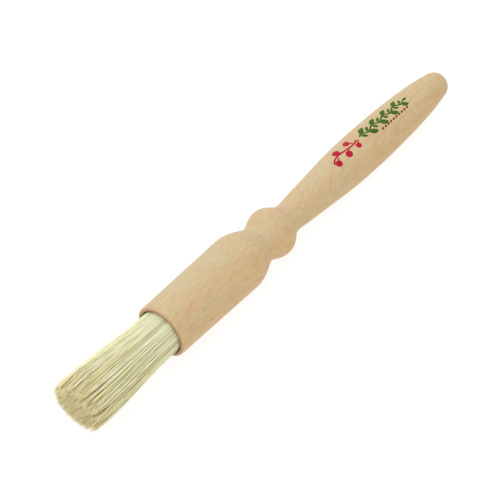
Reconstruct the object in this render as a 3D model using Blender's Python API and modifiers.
"""Round pastry brush: a turned beech handle with a knot of bristles glued in its bored socket.

The brush is designed standing on the end of its handle, bristles up, with height 0 at the mouth
of the socket. One empty then lays it on its side, the way it rests on a worktop.
"""

import math

import bmesh
import bpy
import numpy as np
from mathutils import Vector

MM = 0.001
GAP = 0.3 * MM  # between pieces that touch

# Handle: (radius, height) places on its outside, going down from the mouth of the socket.
MOUTH_R = 11.6 * MM
LIP_R = 1.2 * MM  # rounding of the outer lip
OUTSIDE = [
    (12.0 * MM, -46.5 * MM),  # shoulder: the widest place, where the barrel ends
    (11.4 * MM, -49.5 * MM),
    (10.1 * MM, -53.0 * MM),
    (8.6 * MM, -56.3 * MM),
    (8.15 * MM, -58.6 * MM),  # groove
    (8.7 * MM, -60.6 * MM),
    (9.75 * MM, -63.0 * MM),
    (10.45 * MM, -65.8 * MM),  # bead
    (10.2 * MM, -68.6 * MM),
    (8.8 * MM, -71.4 * MM),
    (7.05 * MM, -74.0 * MM),
    (6.4 * MM, -77.0 * MM),  # neck
    (6.75 * MM, -82.0 * MM),
    (7.35 * MM, -90.0 * MM),
    (8.7 * MM, -108.0 * MM),
    (9.05 * MM, -125.0 * MM),  # belly of the grip
    (8.3 * MM, -147.5 * MM),
    (6.5 * MM, -165.7 * MM),
    (5.55 * MM, -171.1 * MM),
]
NECK_HEIGHT = -77.0 * MM
BUTT_ROUND = (3.9 * MM, -174.0 * MM)
BUTT_FLAT = (2.0 * MM, -175.0 * MM)

# Socket bored into the barrel, with the cone that the drill leaves at its bottom.
BORE_R = 9.95 * MM
BORE_DEPTH = 30.0 * MM
DRILL_CONE = 2.5 * MM

# Bristles: (radius, height) places on the outside of the whole tuft.
TUFT = [
    (9.45 * MM, 0.0),
    (9.75 * MM, 11.0 * MM),
    (10.95 * MM, 26.0 * MM),
    (11.75 * MM, 38.0 * MM),
    (11.2 * MM, 49.2 * MM),
]
TUFT_R, TUFT_TOP = TUFT[-1]
TRIM_EDGE = (0.4 * MM, 1.4 * MM)  # how far in, and down, the trimmed end is rounded
ZONE_TOP = 10.2 * MM  # below it the bristles bend, and above it they move as one tuft
CORE_SHARE = 0.34  # the core lock's share of the tuft's radius
RINGS = [(5, CORE_SHARE, 0.66), (10, 0.66, 1.0)]  # locks in the ring, inner and outer share
LOCK_SPACE = 1.3 * GAP  # between neighbours in a ring, at their inner edge

# Root of the bristles, bound and glued inside the socket.
ROOT_TOP = 0.7 * MM
ROOT_BOTTOM = -27.0 * MM
WAIST_R = 8.2 * MM  # under the binding
FOOT_R = 8.7 * MM
CORD_R = 0.45 * MM
CORD_TURNS = 5
CORD_PITCH = 1.2 * MM
CORD_BOTTOM = -18.0 * MM
FLARE = 6.0 * MM  # from the waist out to the full root
GLUE_RIM = -22.0 * MM
GLUE_WALL = 0.6 * MM

# Bending: two crossed axes, one above the other, where the bristles leave the socket.
SWAY_HEIGHT = 3.5 * MM
SWING_HEIGHT = 10.5 * MM

# Fineness of the meshes.
HANDLE_SIDES = 32
KNOT_SIDES = 32
CORE_SIDES = 16
LOCK_SPIN_STEPS = 4
TUFT_STATIONS = 6
CORD_POINTS_PER_TURN = 20

# Colours, as seen.
BEECH = (0.82, 0.73, 0.56)
GLUE = (0.45, 0.30, 0.12)
TWINE = (0.72, 0.66, 0.52)
BRISTLE = (0.86, 0.83, 0.62)
BRISTLE_DARK = (0.78, 0.74, 0.52)
SATIN, GLOSS, MATT = 0.5, 0.25, 0.75  # roughness


def clear_scene():
    for obj in list(bpy.data.objects):
        bpy.data.objects.remove(obj, do_unlink=True)


def material(name, colour, roughness):
    made = bpy.data.materials.new(name)
    made.use_nodes = True
    shader = made.node_tree.nodes["Principled BSDF"]
    shader.inputs["Base Color"].default_value = (*[c**2.2 for c in colour], 1)
    shader.inputs["Roughness"].default_value = roughness
    shader.inputs["Metallic"].default_value = 0
    return made


def add_empty(name, collection, parent=None, height=0.0):
    """An empty on the brush's axis at that height above the mouth."""
    empty = bpy.data.objects.new(name, None)
    empty["height"] = height
    collection.objects.link(empty)
    if parent:
        empty.parent = parent
        empty.location.z = height - parent["height"]
    return empty


def add_object(name, data, colour, roughness, parent):
    """An object whose data is drawn with height 0 at the mouth, carried by an empty."""
    obj = bpy.data.objects.new(name, data)
    data.materials.append(material(name, colour, roughness))
    parent.users_collection[0].objects.link(obj)
    obj.parent = parent
    obj.location.z = -parent["height"]
    return obj


def cubic_radii(points, levels):
    """Radii, at those heights, of the natural cubic through (radius, height) points."""
    radii, heights = np.array(points).T
    order = np.argsort(heights)
    x, y = heights[order], radii[order]
    h = np.diff(x)
    rows = np.eye(len(x))
    right = np.zeros(len(x))
    for i in range(1, len(x) - 1):
        rows[i, i - 1 : i + 2] = h[i - 1], 2 * (h[i - 1] + h[i]), h[i]
        right[i] = 6 * ((y[i + 1] - y[i]) / h[i] - (y[i] - y[i - 1]) / h[i - 1])
    bend = np.linalg.solve(rows, right)
    i = np.clip(np.searchsorted(x, levels) - 1, 0, len(h) - 1)
    above, below = levels - x[i], x[i + 1] - levels
    cubic = (bend[i] * below**3 + bend[i + 1] * above**3) / (6 * h[i])
    from_low = (y[i] / h[i] - bend[i] * h[i] / 6) * below
    from_high = (y[i + 1] / h[i] - bend[i + 1] * h[i] / 6) * above
    return cubic + from_low + from_high


def smooth_curve(points, first, last, steps):
    """Places on the natural cubic through the points, evenly spaced between two heights."""
    levels = np.linspace(first, last, steps)
    return [(float(r), float(z)) for r, z in zip(cubic_radii(points, levels), levels)]


def arc(start, middle, end, steps):
    """Places on the circle through three points."""
    (ax, ay), (bx, by), (cx, cy) = start, middle, end
    d = 2 * (ax * (by - cy) + bx * (cy - ay) + cx * (ay - by))
    a2, b2, c2 = ax**2 + ay**2, bx**2 + by**2, cx**2 + cy**2
    centre_x = (a2 * (by - cy) + b2 * (cy - ay) + c2 * (ay - by)) / d
    centre_y = (a2 * (cx - bx) + b2 * (ax - cx) + c2 * (bx - ax)) / d
    radius = math.hypot(ax - centre_x, ay - centre_y)
    places = (start, middle, end)
    first, _, last = np.unwrap([math.atan2(y - centre_y, x - centre_x) for x, y in places])
    turns = [first + (last - first) * i / (steps - 1) for i in range(steps)]
    return [(centre_x + radius * math.cos(t), centre_y + radius * math.sin(t)) for t in turns]


def lip(steps):
    """The rounded outer edge of the mouth."""
    turns = [math.pi / 2 * (1 - i / (steps - 1)) for i in range(steps)]
    inset = MOUTH_R - LIP_R
    return [(inset + LIP_R * math.cos(t), LIP_R * (math.sin(t) - 1)) for t in turns]


def grip_curve(steps):
    return smooth_curve(OUTSIDE, NECK_HEIGHT, OUTSIDE[-1][1], steps)


def tuft_curve(low, high, steps):
    """Places on the tuft's outside between two heights, going up."""
    return smooth_curve(TUFT, low, high, steps)


def turned(name, profile, sides, colour, roughness, parent):
    """A solid of revolution. Its profile runs from the top, down the outer side, to the bottom."""
    mesh = bpy.data.meshes.new(name)
    points = [(radius, 0, height) for radius, height in profile]
    mesh.from_pydata(points, [(i, i + 1) for i in range(len(points) - 1)], [])
    obj = add_object(name, mesh, colour, roughness, parent)
    screw = obj.modifiers.new("turning", "SCREW")
    screw.steps = screw.render_steps = sides
    screw.use_merge_vertices = True
    screw.merge_threshold = 0.00001
    screw.use_smooth_shade = False
    return obj


def make_handle(parent):
    bore = [(0, -BORE_DEPTH - DRILL_CONE), (BORE_R, -BORE_DEPTH), (BORE_R, 0)]
    shoulder_and_bead = smooth_curve(OUTSIDE, OUTSIDE[0][1], NECK_HEIGHT, 19)
    butt = arc(OUTSIDE[-1], BUTT_ROUND, BUTT_FLAT, 4) + [(0, BUTT_FLAT[1])]
    profile = bore + lip(4) + shoulder_and_bead + grip_curve(15)[1:] + butt[1:]
    handle = turned("handle", profile, HANDLE_SIDES, BEECH, SATIN, parent)
    # Half a step of turn puts a facet, and not a ridge, on the worktop.
    handle.rotation_euler.z = math.pi / HANDLE_SIDES


def make_glue_plug(parent):
    """Cast glue at the bottom of the socket, with a cup round the root's foot."""
    outer = BORE_R - GAP
    inner = outer - GLUE_WALL
    floor = ROOT_BOTTOM - GAP
    bottom = -BORE_DEPTH + GAP
    cup = [(0, floor), (inner, floor), (inner, GLUE_RIM), (outer, GLUE_RIM)]
    profile = cup + [(outer, bottom), (0, bottom - DRILL_CONE)]
    turned("glue_plug", profile, KNOT_SIDES, GLUE, GLOSS, parent)


def make_bristle_root(parent):
    """The part of the knot inside the socket, drawn in where the cord binds it."""
    full_r = TUFT[0][0]
    waist_low = CORD_BOTTOM - 2 * CORD_R
    waist_high = CORD_BOTTOM + CORD_TURNS * CORD_PITCH + 2 * CORD_R
    profile = [
        (0, ROOT_TOP),
        (full_r, ROOT_TOP),
        (full_r - GAP, waist_high + FLARE),
        (WAIST_R, waist_high),
        (WAIST_R, waist_low),
        (FOOT_R, GLUE_RIM + GAP),
        (FOOT_R, ROOT_BOTTOM),
        (0, ROOT_BOTTOM),
    ]
    turned("bristle_root", profile, KNOT_SIDES, BRISTLE_DARK, MATT, parent)


def make_binding_cord(parent):
    """Twine wound round the root before it is glued in."""
    curve = bpy.data.curves.new("binding_cord", "CURVE")
    curve.dimensions = "3D"
    curve.bevel_depth = CORD_R
    curve.bevel_resolution = 2
    curve.use_fill_caps = True
    radius = WAIST_R + GAP + CORD_R
    spline = curve.splines.new("POLY")
    spline.points.add(CORD_TURNS * CORD_POINTS_PER_TURN)
    for i, point in enumerate(spline.points):
        turns = i / CORD_POINTS_PER_TURN
        angle = 2 * math.pi * turns
        height = CORD_BOTTOM + CORD_PITCH * turns
        point.co = (radius * math.cos(angle), radius * math.sin(angle), height, 1)
    add_object("binding_cord", curve, TWINE, MATT, parent)


def make_bristle_neck(parent):
    """The short zone past the mouth where the bristles bend."""
    low = ROOT_TOP + GAP
    side = tuft_curve(low, ZONE_TOP, 3)
    profile = [(0, ZONE_TOP), *reversed(side), (0, low)]
    turned("bristle_neck", profile, KNOT_SIDES, BRISTLE, MATT, parent)


def lock_outside():
    """The tuft's outside above the bending zone, with the edge of the trimmed end rounded off."""
    inset, drop = TRIM_EDGE
    side = tuft_curve(ZONE_TOP + GAP, TUFT_TOP - drop, TUFT_STATIONS)
    return side + [(TUFT_R - inset, TUFT_TOP)]


def make_core_lock(name, parent):
    """The round lock in the middle of the tuft."""
    side = [(radius * CORE_SHARE - GAP / 2, z) for radius, z in lock_outside()]
    profile = [(0, side[-1][1]), *reversed(side), (0, side[0][1])]
    turned(name, profile, CORE_SIDES, BRISTLE, MATT, parent)


def make_ring_lock(name, ring, index, parent):
    """One wedge of bristles in a ring round the core: its section, spun part of a turn."""
    count, inner_share, outer_share = ring
    outer = [(radius * outer_share - GAP / 2, z) for radius, z in lock_outside()]
    inner = [(radius * inner_share + GAP / 2, z) for radius, z in lock_outside()]
    width = 2 * math.pi / count - LOCK_SPACE / inner[0][0]
    start = 2 * math.pi * (index + inner_share) / count
    outward = Vector((math.cos(start), math.sin(start), 0))
    form = bmesh.new()
    corners = [form.verts.new(outward * r + Vector((0, 0, z))) for r, z in outer + inner[::-1]]
    section = form.faces.new(corners)
    bmesh.ops.spin(
        form,
        geom=[section, *section.edges, *section.verts],
        cent=(0, 0, 0),
        axis=(0, 0, 1),
        angle=width,
        steps=LOCK_SPIN_STEPS,
        use_duplicate=False,
    )
    bmesh.ops.recalc_face_normals(form, faces=form.faces)
    mesh = bpy.data.meshes.new(name)
    form.to_mesh(mesh)
    form.free()
    add_object(name, mesh, (BRISTLE, BRISTLE_DARK)[index % 2], MATT, parent)


def make_tuft(parent):
    """The free bristles as locks: a core, and two rings round it."""
    make_core_lock("bristle_lock_01", parent)
    number = 2
    for ring in RINGS:
        for index in range(ring[0]):
            make_ring_lock(f"bristle_lock_{number:02d}", ring, index, parent)
            number += 1


def rest_tilt():
    """The slope of the line that touches both the shoulder and the belly of the grip."""
    radius, height = OUTSIDE[0]
    return min(math.atan2(radius - r, height - z) for r, z in grip_curve(60))


def lay_down(brush):
    """Lays the brush on its shoulder and belly, bristles towards -X, centred over the origin."""
    brush.rotation_euler.y = rest_tilt() - math.pi / 2
    bpy.context.view_layer.update()
    graph = bpy.context.evaluated_depsgraph_get()
    corners = []
    for obj in brush.users_collection[0].objects:
        if obj.type == "EMPTY":
            continue
        shape = obj.evaluated_get(graph)
        corners += [shape.matrix_world @ vertex.co for vertex in shape.to_mesh().vertices]
        shape.to_mesh_clear()
    low = [min(corner[i] for corner in corners) for i in range(3)]
    high = [max(corner[i] for corner in corners) for i in range(3)]
    brush.location = (-(low[0] + high[0]) / 2, -(low[1] + high[1]) / 2, -low[2])


def main():
    clear_scene()
    collection = bpy.data.collections.new("pastry_brush")
    bpy.context.scene.collection.children.link(collection)
    brush = add_empty("brush_axis", collection)
    sway = add_empty("sway_pivot", collection, brush, SWAY_HEIGHT)
    swing = add_empty("swing_pivot", collection, sway, SWING_HEIGHT)
    make_handle(brush)
    make_glue_plug(brush)
    make_bristle_root(brush)
    make_binding_cord(brush)
    make_bristle_neck(sway)
    make_tuft(swing)
    lay_down(brush)


main()
